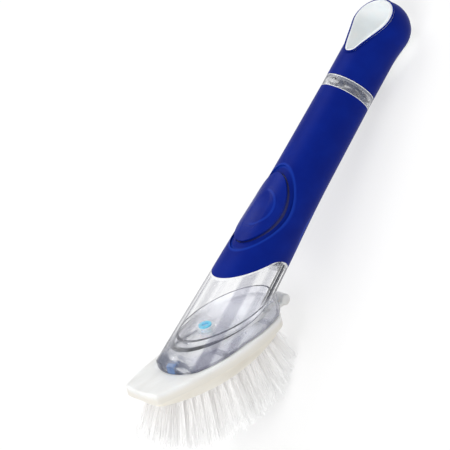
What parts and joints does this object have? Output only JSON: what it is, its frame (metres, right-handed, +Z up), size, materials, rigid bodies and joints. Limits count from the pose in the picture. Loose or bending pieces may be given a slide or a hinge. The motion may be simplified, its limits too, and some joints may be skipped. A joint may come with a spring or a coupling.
{
  "type": "dish wand",
  "caption": "Dish wand: soap-filled handle with soft grip and thumb button, clear slanted foot, screw cap with teardrop hanging hole, and a clip-on boat-shaped brush head.",
  "frame": {"origin": "middle of the bounding box at counter level, where the rear bristle tips and the bulb of the cap touch", "axes": "+X runs from the brush head to the cap, +Z is up off the counter with the thumb button on top, +Y across the wand"},
  "size_m": [0.2874, 0.0446, 0.09],
  "materials": {
    "soft_blue_grip": "satin",
    "blue_button": "satin",
    "blue_cap": "satin",
    "clear_plastic": "gloss",
    "white_plastic": "satin",
    "blue_core": "matte",
    "cream_plastic": "satin",
    "white_nylon": "matte",
    "dark_rubber": "matte",
    "cyan_silicone": "satin",
    "clear_silicone": "matte"
  },
  "bodies": {
    "handle": {"reservoir_tube": "clear_plastic", "grip_core": "blue_core", "grip_sleeve": "soft_blue_grip", "reservoir_floor": "clear_plastic", "floor_seal": "dark_rubber", "dispensing_valve": "cyan_silicone", "pump_diaphragm": "clear_silicone"},
    "button": {"thumb_button": "blue_button", "button_plunger": "blue_core"},
    "cap_carrier": {"cap_seal": "dark_rubber"},
    "cap": {"cap_core": "white_plastic", "cap_cover": "blue_cap"},
    "head": {"head_deck": "white_plastic", "bristle_block": "cream_plastic", "bristle_row_1": "white_nylon", "bristle_row_2": "white_nylon", "bristle_row_3": "white_nylon", "bristle_row_4": "white_nylon", "bristle_row_5": "white_nylon", "outlet_seal": "clear_silicone"},
    "latch": {"latch_tongue": "white_plastic"}
  },
  "joints": [
    {"name": "button_press", "type": "slide", "parent": "handle", "child": "button", "axis": [-0.1745, 0, -0.9846], "range_m": [0, 0.0012], "stiffness_N_per_m": 3000, "deforming": ["pump_diaphragm"]},
    {"name": "cap_lift", "type": "slide", "parent": "handle", "child": "cap_carrier", "axis": [0.9846, 0, -0.1745], "range_m": [0, 0.0081]},
    {"name": "cap_turn", "type": "hinge", "parent": "cap_carrier", "child": "cap", "pos_m": [0.08057, 0, 0.025], "axis": [0.9846, 0, -0.1745], "range_deg": [0, 720]},
    {"name": "head_slide", "type": "slide", "parent": "handle", "child": "head", "axis": [-0.7247, 0, 0.689], "range_m": [0, 0.005]},
    {"name": "latch_flex", "type": "hinge", "parent": "head", "child": "latch", "pos_m": [-0.06069, 0, 0.03269], "axis": [0, 1, 0], "range_deg": [0, 4], "stiffness_Nm_per_rad": 1}
  ],
  "couplings": [
    {"joint": "cap_lift", "follows": "cap_turn", "m_per_rad": 0.00063662}
  ]
}
